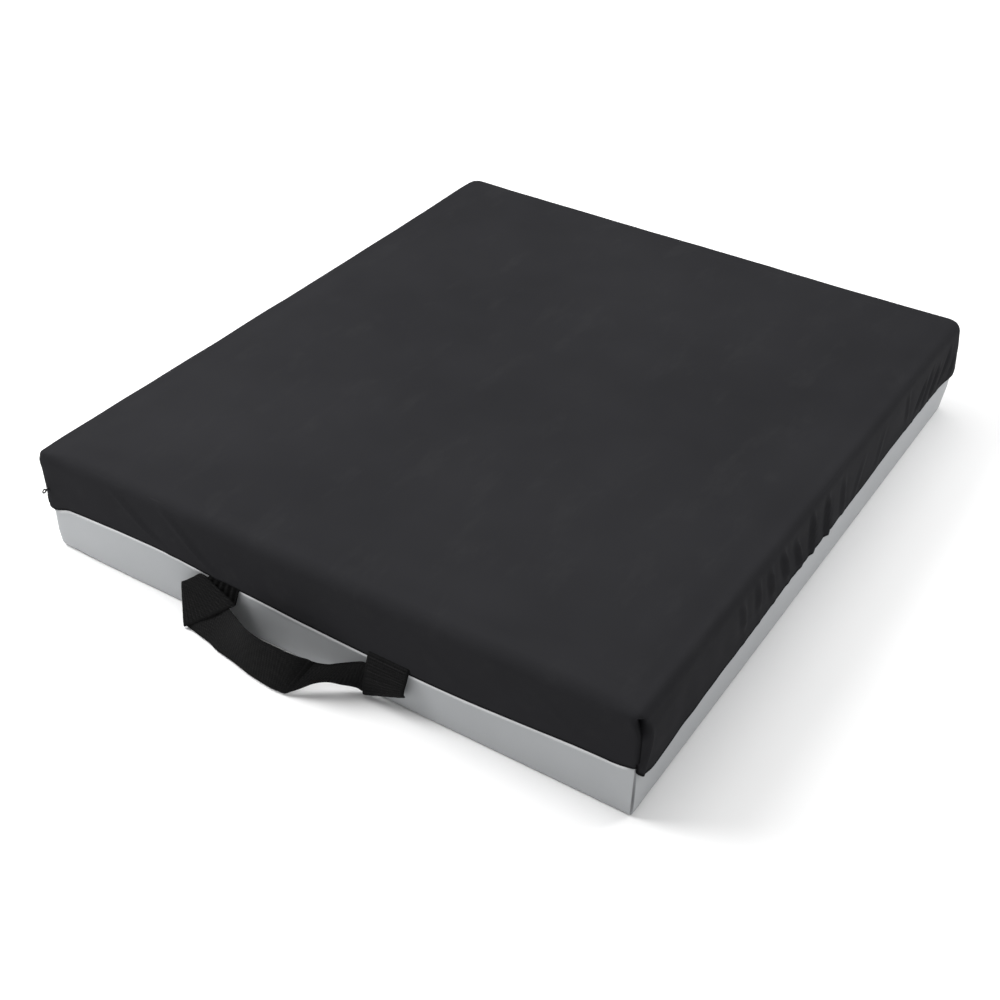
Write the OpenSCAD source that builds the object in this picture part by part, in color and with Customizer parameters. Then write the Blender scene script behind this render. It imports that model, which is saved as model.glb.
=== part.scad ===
// Kneeling pad: a two-layer foam block in a zip-off cover, with a webbing carry handle.
// The origin is the centre of the flat underside. +Z is up, the handle is on the -Y side.

/* [Pad] */
// Size along X, the side that carries the handle
pad_w = 430; // [380:1:480]
// Size along Y
pad_d = 500; // [440:1:560]
// Overall height of the filled pad
pad_h = 75; // [72:1:90]
// Radius of the two back corners, seen from above
back_corner_r = 9; // [8:1:14]
// Radius of the soft roll along the top front edge
front_roll_r = 9; // [7:1:10]
// Radius of the other top edges
top_edge_r = 4; // [3:1:5]

/* [Cover] */
// Thickness of the coated fabric
sheet_t = 1; // [0.8:0.1:1.2]
// Height of the lower edge of the black flap that hides the zip
flap_z = 31; // [28:1:33]
// Height of the front seam between the black cover and the grey base
seam_z = 32; // [30:1:34]
// Radius of the flap's two lower front corners
flap_corner_r = 10; // [6:1:14]

/* [Zip] */
// Height of the middle of the zip
zip_z = 43; // [43:0.5:45]
// Width of one zip tape
tape_w = 13; // [11:0.5:13]
// Length of the pull, from its pivot to the middle of its end ring
pull_l = 26.5; // [24:0.5:28]
// Upward tilt of the pull at rest, in degrees
pull_tilt = 6.5; // [4:0.5:7]

/* [Foam] */
// Height at which the firm base foam meets the soft top foam
foam_split_z = 40; // [38:1:42]

/* [Handle] */
// Width of the webbing
strap_w = 29; // [25:1:32]
// Thickness of the webbing
strap_t = 1.5; // [1.2:0.1:1.8]
// Middle of the left strap end, along X
strap_left_x = -72; // [-80:1:-64]
// Middle of the right strap end, along X
strap_right_x = 54; // [46:1:62]

/* [Hidden] */

$fn = 48;
gap = 0.3;               // clearance between bodies that move apart
over = 1;                // how far a cutter runs past what it cuts

// Depths measured inwards from the pad's outer faces, on the three zipped sides
pull_in = 1.4;           // outer face of the pull
pull_t = 1;
plate_out_in = 2.7;      // outer face of the slider's outer plate
plate_t = 1;
zip_in = 5;              // middle plane of the zip
tape_t = 0.5;
coil_t = 2.2;
plate_in_in = 6.3;       // outer face of the slider's inner plate
groove_in = 8;           // depth to which the slider presses the foam back
foam_in = 6.5;           // side faces of the upper foam, so that the zip can rise past them
tape_back_in = 5.6;      // face of the lower foam behind its tape
wall_in = sheet_t + gap; // outer face of the grey wall, just inside the black flap

// Heights
wall_top_z = zip_z - 6;
wall_hem_z = wall_top_z - 8;
facing_z = zip_z + 8;
facing_h = 8;
coil_w = 2.4;            // width of one row of coil
coil_gap = 0.4;          // between the two rows
groove_half_h = 10;
front_wall_out = 0.5;    // the grey front wall sits this far inside the black front panel
front_end_y = -pad_d / 2 + 10;       // where the zip ends, at both front corners
hinge_y = -pad_d / 2 + front_roll_r; // bend line of the opening cover
panel_half_w = pad_w / 2 - 2.8;      // the front panel stops short of the flap: the corner slit

// Slider
slider_l = 13;
slider_w = 9.6;
slider_y = -pad_d / 2 + 21.5;
post_r = 0.8;
post_clear = 0.06;
pull_w = 3.4;
ring_r = 1.6;
ring_hole_r = 0.8;

// Handle
left_end = strap_left_x - strap_w / 2;
left_in = strap_left_x + strap_w / 2;
right_in = strap_right_x - strap_w / 2;
right_end = strap_right_x + strap_w / 2;
front_y = -pad_d / 2;

// The webbing's shape: each row is one line across it, from its upper edge to its lower edge,
// from the left strap end to the right one. Y counts outwards from the pad's front face.
STRAP = [
    [[left_end + 0.5, 1.4, seam_z],     [left_in + 1, 1.4, seam_z]],
    [[left_end + 1.5, 2.2, seam_z - 1], [left_in, 3.2, 25]],
    [[left_end - 0.3, 2.8, seam_z],     [left_in - 0.3, 5.6, 24]],
    [[left_end - 4, 4.2, 30.3],         [left_in - 9.5, 9.6, 17]],
    [[left_end - 8.5, 5.8, 27.9],       [left_in - 21.5, 14.2, 8]],
    [[left_end - 11.2, 6.6, 26.2],      [left_in - 31, 17.6, 1.8]],
    [[left_end - 10.6, 5.2, 24.8],      [left_in - 30.4, 16.2, 1]],
    [[left_end + 2.5, 3.2, 22],         [left_in - 18.5, 18.4, 1]],
    [[left_end + 18.5, 4, 21.5],        [left_in - 8.5, 20.4, 1]],
    [[left_end + 32.5, 10, 22.5],       [left_in - 1, 22.8, 1]],
    [[-37, 20, 27.8],                   [-44, 25.2, 1]],
    [[-24, 23.8, 29],                   [-28, 28.5, 1]],
    [[-9, 24.2, 29.2],                  [-12, 30.2, 1]],
    [[3, 22.4, 28.4],                   [-5.5, 29.9, 1]],
    [[10, 19.6, 27.6],                  [-2.2, 29.7, 1]],
    [[13.5, 20, 26.6],                  [-0.6, 29.4, 1.2]],
    [[17, 18, 25.4],                    [1.4, 27.4, 2]],
    [[right_in - 18, 14.6, 24.3],       [5, 23.6, 3.2]],
    [[right_in - 14.5, 11.5, 24.5],     [10.5, 17.5, 5.5]],
    [[right_in - 10, 8.2, 25],          [17, 12.5, 6.5]],
    [[right_in - 6, 5.4, 25.5],         [24.5, 7.6, 4.5]],
    [[right_in - 1, 3.2, 26],           [right_in - 8, 3.6, 3]],
    [[right_in + 6.5, 2, 23],           [right_in - 4, 3.2, 2.2]],
    [[right_in + 17.5, 2, 17.4],        [right_in - 1.5, 3.2, 2.4]],
    [[right_in + 27, 3.2, 14.2],        [right_in - 1.2, 4.6, 2.4]],
    [[right_in + 28, 5.2, 15.8],        [right_in - 0.9, 6.2, 4.4]],
    [[right_end - 0.5, 5.4, 20.5],      [right_in - 0.5, 6, 14]],
    [[right_end, 3.6, 26],              [right_in, 3.6, 25]],
    [[right_end, 1.4, seam_z - 1],      [right_in, 1.4, seam_z - 1]],
];
STRAP_STEPS = 5;         // sections drawn between two rows

// ---------- shapes used by several parts ----------

// Plan outline of the pad, set in from its sides and back; its front edge is at y0
module plan(inset, y0) {
    w = pad_w / 2 - inset;
    y1 = pad_d / 2 - inset;
    r = max(back_corner_r - inset, 1);
    translate([-w, y0]) square([2 * w, y1 - r - y0]);
    translate([-w + r, y0]) square([2 * (w - r), y1 - y0]);
    for (s = [-1, 1]) translate([s * (w - r), y1 - r]) circle(r);
}

// The same outline as a solid between two heights
module slab(inset, y0, z0, z1) {
    translate([0, 0, z0]) linear_extrude(z1 - z0) plan(inset, y0);
}

// A band that runs round the three zipped sides, from one depth to another
module zip_band(in0, in1, z0, z1, y0 = front_end_y) {
    difference() {
        slab(in0, y0, z0, z1);
        translate([0, 0, z0 - over]) linear_extrude(z1 - z0 + 2 * over) plan(in1, y0 - over);
    }
}

// Side outline of the cover (Y, Z): rolled front edge, rounded lower front corner
module side_outline(inset, z0, lower_r) {
    y0 = -pad_d / 2 + inset;
    y1 = pad_d / 2 + over;
    z1 = pad_h - inset;
    r = front_roll_r - inset;
    translate([y0 + r, z1 - r]) circle(r);
    translate([y0 + r, z1 - 2 * r]) square([y1 - y0 - r, 2 * r]);
    translate([y0, z0 + lower_r]) square([y1 - y0, z1 - r - z0 - lower_r]);
    translate([y0 + lower_r, z0]) square([y1 - y0 - lower_r, lower_r + over]);
    if (lower_r > 0) translate([y0 + lower_r, z0 + lower_r]) circle(lower_r);
}

// Front outline (X, Z) with rounded top edges
module front_outline(inset, z0) {
    w = pad_w / 2 - inset;
    z1 = pad_h - inset;
    r = top_edge_r - min(inset, top_edge_r - 1);
    translate([-w, z0]) square([2 * w, z1 - r - z0]);
    translate([-w + r, z0]) square([2 * (w - r), z1 - z0]);
    for (s = [-1, 1]) translate([s * (w - r), z1 - r]) circle(r);
}

// Extrudes a (Y, Z) outline sideways over a given half width
module along_x(half_w) {
    translate([-half_w, 0, 0]) rotate([90, 0, 90]) linear_extrude(2 * half_w) children();
}

// Extrudes an (X, Z) outline from front to back
module along_y() {
    translate([0, pad_d / 2 + over, 0]) rotate([90, 0, 0]) linear_extrude(pad_d + 2 * over) children();
}

// ---------- base ----------

// Grey coated base: a flat bottom folded up into four walls, with a hem behind the flap
module base_tray() color([0.66, 0.67, 0.68]) {
    difference() {
        slab(wall_in, front_y + front_wall_out, 0, wall_top_z);
        slab(wall_in + sheet_t, front_y + front_wall_out + sheet_t, sheet_t, wall_top_z + over);
        translate([-pad_w, front_y - over, seam_z]) cube([2 * pad_w, over + 2, pad_h]);
    }
    zip_band(wall_in + sheet_t - 0.01, zip_in - tape_t / 2, wall_hem_z, wall_top_z);
}

// Black front face and the soft roll that leads into the top
module front_panel() color([0.12, 0.12, 0.13]) {
    difference() {
        along_x(panel_half_w) side_outline(0, seam_z, 0);
        along_x(pad_w) side_outline(sheet_t, seam_z - over, 0);
        translate([-pad_w, hinge_y, 0]) cube([2 * pad_w, pad_d, 2 * pad_h]);
    }
}

// Firm lower foam, pressed in where the zip and the strap ends lie against it
module foam_base() color([0.93, 0.92, 0.86]) {
    under = wall_in + sheet_t + 0.9;
    low_front = front_y + 4;
    slab(under, low_front, sheet_t + gap, wall_hem_z - 3);
    slab(tape_back_in, low_front, wall_hem_z - 4, zip_z - groove_half_h);
    slab(groove_in, low_front, zip_z - groove_half_h - over, foam_split_z);
}

// Soft upper foam, with the roll along its front edge
module foam_top() color([0.95, 0.93, 0.78]) {
    intersection() {
        union() {
            slab(groove_in, front_y, foam_split_z, zip_z + groove_half_h + over);
            slab(foam_in, front_y, zip_z + groove_half_h, pad_h);
        }
        along_x(pad_w) side_outline(sheet_t + gap, 0, 0);
    }
}

// One zip tape, from height z0
module zip_tape(z0) {
    zip_band(zip_in - tape_t / 2, zip_in + tape_t / 2, z0, z0 + tape_w - 1);
}

// One row of coil, on both faces of its tape
module zip_coil(z0) {
    difference() {
        zip_band(zip_in - coil_t / 2, zip_in + coil_t / 2, z0, z0 + coil_w);
        zip_band(zip_in - tape_t / 2, zip_in + tape_t / 2, z0 - over, z0 + coil_w + over);
    }
}

// Lower zip tape, sewn behind the hem of the grey wall
module zip_tape_lower() color([0.10, 0.10, 0.10]) zip_tape(zip_z - coil_gap / 2 - tape_w + 1);

// Lower row of zip coil, either side of its tape
module zip_coil_lower() color([0.16, 0.16, 0.16]) zip_coil(zip_z - coil_gap / 2 - coil_w);

// Thread line that sews the lower tape to the grey wall
module zip_thread_lower() color([0.45, 0.45, 0.46]) {
    zip_band(zip_in + tape_t / 2, zip_in + tape_t / 2 + 0.3, wall_top_z - 3, wall_top_z - 2.4);
}

// Small moulded block on the zip at one front end
module stop_block(x_side, y, z0, z1, depth) {
    x = x_side * (pad_w / 2 - zip_in);
    translate([x - depth / 2, y, z0]) cube([depth, 2.4, z1 - z0]);
}

// Moulded box that joins the two tapes at the right front end of the zip
module zip_start_box() color([0.14, 0.14, 0.14]) {
    stop_block(1, front_end_y - 2.6, zip_z - 4, zip_z - coil_gap / 2, coil_t + 0.6);
}

// Crimped stop on the lower tape, at the left front end
module zip_end_stop_lower() color([0.14, 0.14, 0.14]) {
    stop_block(-1, front_end_y - 2.6, zip_z - 3, zip_z - coil_gap / 2, coil_t);
}

// Thread in the four upright corner seams of the grey base
module corner_seam_thread() color([0.42, 0.42, 0.43]) {
    stitch_h = 3;
    stitch_pitch = 4.2;
    thread_r = 0.3;
    wall_back = wall_in + sheet_t + thread_r + 0.05;
    front = [pad_w / 2 - wall_back, front_y + front_wall_out + sheet_t + 0.5];
    arc = back_corner_r + (wall_back - back_corner_r) / sqrt(2);
    back = [pad_w / 2 - arc, pad_d / 2 - arc];
    for (i = [0:5], corner = [front, back], side = [-1, 1])
        translate([side * corner[0], corner[1], 2.5 + i * stitch_pitch]) cylinder(r = thread_r, h = stitch_h);
}

// Thread of the front seam, where the black panel is sewn to the grey wall
module front_seam_thread() color([0.07, 0.07, 0.07]) {
    stitch_l = 3.2;
    stitch_pitch = 4.5;
    count = floor((panel_half_w * 2 - 20) / stitch_pitch / 2);
    for (i = [-count:count])
        translate([i * stitch_pitch - stitch_l / 2, front_y + front_wall_out + sheet_t, seam_z - 3])
            cube([stitch_l, 0.5, 0.6]);
}

// Ends of the webbing, held inside the front seam
module strap_tails() color([0.08, 0.08, 0.08]) {
    tail_y = front_y + front_wall_out + sheet_t + 0.5;
    tail_drop = 12;
    for (x = [strap_left_x, strap_right_x])
        translate([x - strap_w / 2, tail_y, seam_z - tail_drop - 1]) cube([strap_w, 1.4, tail_drop]);
}

// Bar tacks that lock the webbing ends into the seam
module strap_tacks() color([0.06, 0.06, 0.06]) {
    tack_y = front_y + front_wall_out + sheet_t + 1.9;
    for (x = [strap_left_x, strap_right_x], row = [0:2])
        translate([x - strap_w / 2 + 2, tack_y, seam_z - 11 + row * 3.5]) cube([strap_w - 4, 0.4, 1]);
}

// ---------- top cover ----------

// Black top with its three side flaps: one cut sheet, open along the front
module top_panel() color([0.13, 0.13, 0.14]) {
    difference() {
        intersection() {
            slab(0, front_y, flap_z, pad_h);
            along_x(pad_w) side_outline(0, flap_z, flap_corner_r);
            along_y() front_outline(0, 0);
        }
        intersection() {
            slab(sheet_t, front_y - over, flap_z - over, pad_h - sheet_t);
            along_y() front_outline(sheet_t, 0);
        }
        translate([-pad_w / 2 + sheet_t, front_y - over, 0])
            cube([pad_w - 2 * sheet_t, front_roll_r + over + 0.05, 2 * pad_h]);
    }
}

// Folded strip inside the flap that carries the upper zip tape
module zip_facing() color([0.11, 0.11, 0.12]) {
    zip_band(sheet_t, zip_in - tape_t / 2, facing_z, facing_z + facing_h);
}

// Upper zip tape, sewn to the facing
module zip_tape_upper() color([0.10, 0.10, 0.10]) zip_tape(zip_z + coil_gap / 2);

// Upper row of zip coil
module zip_coil_upper() color([0.16, 0.16, 0.16]) zip_coil(zip_z + coil_gap / 2);

// Thread line that sews the upper tape to the facing
module zip_thread_upper() color([0.07, 0.07, 0.07]) {
    zip_band(zip_in + tape_t / 2, zip_in + tape_t / 2 + 0.3, facing_z + 1.4, facing_z + 2);
}

// Crimped stop on the upper tape, at the left front end
module zip_end_stop_upper() color([0.14, 0.14, 0.14]) {
    stop_block(-1, front_end_y - 2.6, zip_z + coil_gap / 2, zip_z + 3, coil_t);
}

// Turned-in seam allowances of the two sewn back corners of the black cover
module cover_corner_seams() color([0.10, 0.10, 0.10]) {
    arm = 5;
    x = pad_w / 2 - back_corner_r * 0.293 - 1.45;
    y = pad_d / 2 - back_corner_r * 0.293 - 1.45;
    for (s = [-1, 1])
        translate([s * x, y, facing_z + facing_h + 0.5]) rotate([0, 0, s * -45])
            translate([-arm / 2, -0.5, 0]) cube([arm, 0.8, 9]);
}

// ---------- handle ----------

// A point on the smooth curve between p1 and p2
function catmull(p0, p1, p2, p3, t) =
    0.5 * (2 * p1 + (p2 - p0) * t + (2 * p0 - 5 * p1 + 4 * p2 - p3) * t * t
           + (3 * p1 - p0 - 3 * p2 + p3) * t * t * t);

// A row's point in the part's own frame
function out(p) = [p[0], front_y - p[1], p[2]];

last_row = len(STRAP) - 1;

function strap_point(side, u) =
    let (i = min(floor(u), last_row - 1), t = u - i)
    catmull(out(STRAP[max(i - 1, 0)][side]), out(STRAP[i][side]),
            out(STRAP[i + 1][side]), out(STRAP[min(i + 2, last_row)][side]), t);

strap_count = last_row * STRAP_STEPS;
strap_rows = [for (k = [0:strap_count]) [for (side = [0, 1]) strap_point(side, k / STRAP_STEPS)]];

function unit(v) = v / norm(v);

function strap_normal(k) =
    let (a = strap_rows[max(k - 1, 0)], b = strap_rows[min(k + 1, strap_count)],
         run = (b[0] + b[1] - a[0] - a[1]) / 2, across = strap_rows[k][1] - strap_rows[k][0])
    unit(cross(across, run));

// Webbing handle outside the seam: a thick band through the rows of STRAP
module handle_strap() color([0.08, 0.08, 0.08]) {
    half = strap_t / 2;
    ring = [for (k = [0:strap_count], c = [0:3])
        let (n = strap_normal(k))
        strap_rows[k][c == 0 || c == 3 ? 0 : 1] + (c < 2 ? half : -half) * n];
    sides = [for (k = [0:strap_count - 1], c = [0:3], tri = [0, 1])
        let (a = 4 * k + c, b = 4 * k + (c + 1) % 4)
        tri == 0 ? [a, b, b + 4] : [a, b + 4, a + 4]];
    end = 4 * strap_count;
    polyhedron(ring, concat(sides, [[3, 2, 1, 0], [end, end + 1, end + 2, end + 3]]));
}

// ---------- slider and pull ----------

// Places something on the slider, at a depth from the left face
module on_zip(depth) {
    translate([-pad_w / 2 + depth, slider_y, zip_z]) children();
}

// Slider: two plates joined by a wedge ahead of the coil, with a post for the pull
module zip_slider() color([0.10, 0.10, 0.10]) {
    wedge_l = 3;
    wedge_h = coil_gap - 0.1;
    for (depth = [plate_out_in, plate_in_in])
        on_zip(depth) translate([0, -slider_l / 2, -slider_w / 2]) cube([plate_t, slider_l, slider_w]);
    on_zip(plate_out_in) translate([0, -slider_l / 2, -wedge_h / 2])
        cube([plate_in_in - plate_out_in + plate_t, wedge_l, wedge_h]);
    on_zip(pull_in - 0.15) rotate([0, 90, 0]) cylinder(r = post_r, h = plate_out_in - pull_in + 0.3);
}

// Pull: an eye round the post, a flat bar and a small end ring
module zip_pull() color([0.09, 0.09, 0.09]) {
    on_zip(pull_in) rotate([-pull_tilt, 0, 0]) difference() {
        union() {
            rotate([0, 90, 0]) cylinder(r = pull_w / 2, h = pull_t);
            translate([0, -pull_l, -pull_w / 2 + 0.4]) cube([pull_t, pull_l, pull_w - 0.8]);
            translate([0, -pull_l, 0]) rotate([0, 90, 0]) cylinder(r = ring_r, h = pull_t);
        }
        translate([-over, 0, 0]) rotate([0, 90, 0]) cylinder(r = post_r + post_clear, h = pull_t + 2 * over);
        translate([-over, -pull_l, 0]) rotate([0, 90, 0]) cylinder(r = ring_hole_r, h = pull_t + 2 * over);
    }
}

base_tray();
front_panel();
foam_base();
foam_top();
zip_tape_lower();
zip_coil_lower();
zip_thread_lower();
zip_start_box();
zip_end_stop_lower();
corner_seam_thread();
front_seam_thread();
strap_tails();
strap_tacks();
top_panel();
zip_facing();
zip_tape_upper();
zip_coil_upper();
zip_thread_upper();
zip_end_stop_upper();
cover_corner_seams();
handle_strap();
zip_slider();
zip_pull();
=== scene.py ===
"""Kneeling pad: a foam block in a two-tone zip-off cover, with a webbing carry handle."""

import math

import bpy
import numpy as np
from mathutils import Matrix, Vector
from mathutils.kdtree import KDTree


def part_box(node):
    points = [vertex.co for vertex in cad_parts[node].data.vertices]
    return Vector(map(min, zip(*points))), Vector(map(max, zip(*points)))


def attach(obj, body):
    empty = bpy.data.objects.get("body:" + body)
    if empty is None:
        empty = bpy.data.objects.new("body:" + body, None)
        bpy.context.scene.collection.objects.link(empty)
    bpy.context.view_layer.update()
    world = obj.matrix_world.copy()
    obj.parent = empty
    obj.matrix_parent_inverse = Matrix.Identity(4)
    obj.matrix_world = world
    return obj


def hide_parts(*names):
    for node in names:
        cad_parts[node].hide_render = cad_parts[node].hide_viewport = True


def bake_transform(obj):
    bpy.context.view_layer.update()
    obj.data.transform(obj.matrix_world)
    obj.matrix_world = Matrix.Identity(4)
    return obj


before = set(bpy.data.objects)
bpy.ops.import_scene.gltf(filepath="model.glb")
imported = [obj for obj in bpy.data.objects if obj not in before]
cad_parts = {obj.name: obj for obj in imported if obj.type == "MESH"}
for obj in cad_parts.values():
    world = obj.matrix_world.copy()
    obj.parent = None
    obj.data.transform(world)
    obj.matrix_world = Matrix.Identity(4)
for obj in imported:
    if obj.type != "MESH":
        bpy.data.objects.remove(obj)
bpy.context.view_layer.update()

MM = 0.001

# ---------- sizes, from the CAD nodes ----------

COVER_LO, COVER_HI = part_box("top_panel")
HALF_W, FRONT, BACK, TOP = COVER_HI[0], COVER_LO[1], COVER_HI[1], COVER_HI[2]
SHEET = 1.0 * MM                # thickness of the coated fabric
ROLL = 9 * MM                   # radius of the soft roll along the top front edge
EDGE = 6 * MM                   # radius of the other top edges
CORNER = 9 * MM                 # back corners of the cover and the zip, seen from above
BASE_CORNER = 2.5 * MM          # back corners of the grey wall
UPRIGHT = 1.2 * MM              # the two front uprights
CAP_Z = TOP - ROLL              # the corner slit ends here, at the foot of the roll
HINGE_Y = FRONT + ROLL
STRIP_Y = FRONT + 14 * MM       # where the bending front piece hands over to the top piece
FLAP_Z = 31 * MM                # nominal lower edge of the flap
WALL_TOP = 37 * MM              # upper edge of the grey wall, beneath the flap
ZIP_Z = 43 * MM
ZIP_IN = 5 * MM                 # depth of the zip's middle plane behind the pad's faces
ZIP_FRONT = FRONT + 10 * MM     # where the zip ends at both front corners
WALL_IN = 1.3 * MM              # the grey wall's depth behind the flap's outer face
FRONT_IN = 0.5 * MM             # and behind the front face


# ---------- small numeric helpers ----------

def step(a, b, x):
    """0 below a, 1 above b, and a smooth rise between them."""
    t = np.clip((np.asarray(x, float) - a) / (b - a), 0, 1)
    return t * t * (3 - 2 * t)


def bell(x, width):
    """1 at 0, falling smoothly to almost 0 at twice the width."""
    return np.exp(-(np.asarray(x, float) / width) ** 2)


def curve(points, x):
    """A smooth curve through a few (x, value) pairs."""
    px, pv = np.array(points, float).T
    slope = np.gradient(pv, px)
    i = np.clip(np.searchsorted(px, x) - 1, 0, len(px) - 2)
    h = px[i + 1] - px[i]
    t = np.clip((x - px[i]) / h, 0, 1)
    return ((2 * t**3 - 3 * t**2 + 1) * pv[i] + (t**3 - 2 * t**2 + t) * h * slope[i]
            + (-2 * t**3 + 3 * t**2) * pv[i + 1] + (t**3 - t**2) * h * slope[i + 1])


def ripple(p, length, seed, count=9):
    """Smooth unevenness of about that wavelength, between about -1 and 1."""
    rng = np.random.default_rng(seed)
    total = np.zeros(len(p))
    for _ in range(count):
        d = rng.normal(size=3)
        d *= 2 * math.pi / length / np.linalg.norm(d) * rng.uniform(0.6, 1.5)
        total += np.sin(p @ d + rng.uniform(0, 2 * math.pi))
    return total / math.sqrt(count) / 1.4


def lines(lo, hi, pitch, near_lo, near_hi):
    """Grid lines from lo to hi: given offsets (mm) next to each end, an even pitch between."""
    a = [lo + v * MM for v in near_lo]
    b = [hi - v * MM for v in near_hi][::-1]
    count = max(int(round((b[0] - a[-1]) / pitch)), 1)
    return np.array(a + list(np.linspace(a[-1], b[0], count + 1)[1:-1]) + b)


def unit(vectors):
    return vectors / np.maximum(np.linalg.norm(vectors, axis=-1, keepdims=True), 1e-12)


# ---------- meshes ----------

def face_normals(p, quads):
    return np.cross(p[quads[:, 2]] - p[quads[:, 0]], p[quads[:, 3]] - p[quads[:, 1]])


def point_normals(p, quads):
    total, of_face = np.zeros_like(p), face_normals(p, quads)
    for k in range(4):
        np.add.at(total, quads[:, k], of_face)
    return unit(total)


# The axis that each side of a box stands across, and whether it is at that axis's far end
SIDES = {"top": (2, 1), "bottom": (2, 0), "front": (1, 0), "back": (1, 1), "left": (0, 0), "right": (0, 1)}


def box_grid(xs, ys, zs, sides, slit_top=None):
    """The quads of some sides of a box grid, as (points, quads, side of each quad).
    Below slit_top the front side isn't joined to the left and right sides."""
    size = len(xs), len(ys), len(zs)
    keys, names = [], []
    for side in sides:
        axis, far = SIDES[side]
        a, b = (other for other in range(3) if other != axis)
        at = [None] * 3
        at[a], at[b] = np.meshgrid(np.arange(size[a]), np.arange(size[b]), indexing="ij")
        at[axis] = np.full_like(at[a], far * (size[axis] - 1))
        i, j, k = at
        cut = slit_top is not None and side in ("left", "right")
        tag = (j == 0) & (zs[k] < slit_top - 1e-6) if cut else np.zeros_like(i)
        key = ((i * size[1] + j) * size[2] + k) * 2 + tag
        quads = np.stack([key[:-1, :-1], key[1:, :-1], key[1:, 1:], key[:-1, 1:]], -1).reshape(-1, 4)
        keys.append(quads if far != (axis == 1) else quads[:, ::-1])
        names += [side] * len(quads)
    used, quads = np.unique(np.concatenate(keys), return_inverse=True)
    i, j, k = np.unravel_index(used // 2, size)
    return np.stack([xs[i], ys[j], zs[k]], 1), quads.reshape(-1, 4), np.array(names)


def rounding(u, v):
    """For depths u and v past the start of a rounding: where both count, how far a point of the
    square corner shrinks towards the rounding's centre, and its distance from that centre."""
    inside = (u > 0) & (v > 0)
    far = np.maximum(np.hypot(u, v), 1e-12)
    return inside, np.where(inside, np.maximum(u, v) / far, 1), far


def round_box(p, half_w, front, back, top, roll, edge, corner, upright, upright_top):
    """Moves points of a sharp box onto the rounded pad: back corners rounded in plan, a roll
    of one radius along the top front edge and of another along the other top edges."""
    x, y, z = p.T.copy()
    sx = np.where(x < 0, -1.0, 1.0)
    ax = np.abs(x)
    # plan: back corners
    dx, dy = ax - (half_w - corner), y - (back - corner)
    inside, k, _ = rounding(dx, dy)
    ax = np.where(inside, half_w - corner + dx * k, ax)
    y = np.where(inside, back - corner + dy * k, y)
    # front roll, in the (y, z) plane
    u, v = roll - (y - front), roll - (top - z)
    inside, k, _ = rounding(u, v)
    y = np.where(inside, front + roll - u * k, y)
    z = np.where(inside, top - roll + v * k, z)
    # depth under the top-roll-front sheet, and its inward normal
    a, b = y - front, top - z
    u, v = roll - a, roll - b
    inside, _, far = rounding(u, v)
    depth = np.where(inside, roll - far, np.minimum(a, b))
    ny = np.where(inside, u / far, np.where(a < b, 1.0, 0.0))
    nz = np.where(inside, -v / far, np.where(a < b, 0.0, -1.0))
    # depth behind the side and back walls, and their inward normal
    dx, dy = ax - (half_w - corner), y - (back - corner)
    inside, _, far = rounding(dx, dy)
    wall = np.where(inside, corner - far, np.minimum(half_w - ax, back - y))
    side = (half_w - ax) < (back - y)
    wx = np.where(inside, -dx / far, np.where(side, -1.0, 0.0))
    wy = np.where(inside, -dy / far, np.where(side, 0.0, -1.0))
    # rounding between the two
    r = upright + (edge - upright) * step(upright_top - 8 * MM, upright_top + 2 * MM, z)
    r = np.where(y > front + 3 * roll, edge, r)
    u, v = r - wall, r - depth
    inside, k, _ = rounding(u, v)
    move_wall = np.where(inside, (r - u * k) - wall, 0)
    move_depth = np.where(inside, (r - v * k) - depth, 0)
    ax = ax + wx * move_wall
    y = y + wy * move_wall + ny * move_depth
    z = z + nz * move_depth
    return np.stack([sx * ax, y, z], 1)


def make(name, points, faces, material, smooth=True):
    mesh = bpy.data.meshes.new(name)
    mesh.from_pydata([tuple(map(float, p)) for p in points], [], [list(map(int, f)) for f in faces])
    mesh.materials.append(material)
    mesh.polygons.foreach_set("use_smooth", [smooth] * len(mesh.polygons))
    mesh.update()
    obj = bpy.data.objects.new(name, mesh)
    bpy.context.collection.objects.link(obj)
    return obj


def store_shade(obj, values):
    """Keeps a value from 0 to 1 on each point, which the materials read as "shade": painted shade on the
    black cover and the webbing, a painted highlight on the grey base.
    """
    layer = obj.data.attributes.new("shade", "FLOAT", "POINT")
    layer.data.foreach_set("value", np.clip(values, 0, 1).astype(np.float32))


def quad_edges(quads):
    """The four edges of each quad, and a number for each edge that ignores its direction."""
    edges = np.concatenate([quads[:, [k, (k + 1) % 4]] for k in range(4)])
    low, high = np.sort(edges, axis=1).astype(np.int64).T
    return edges, low * 10_000_000 + high


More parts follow.
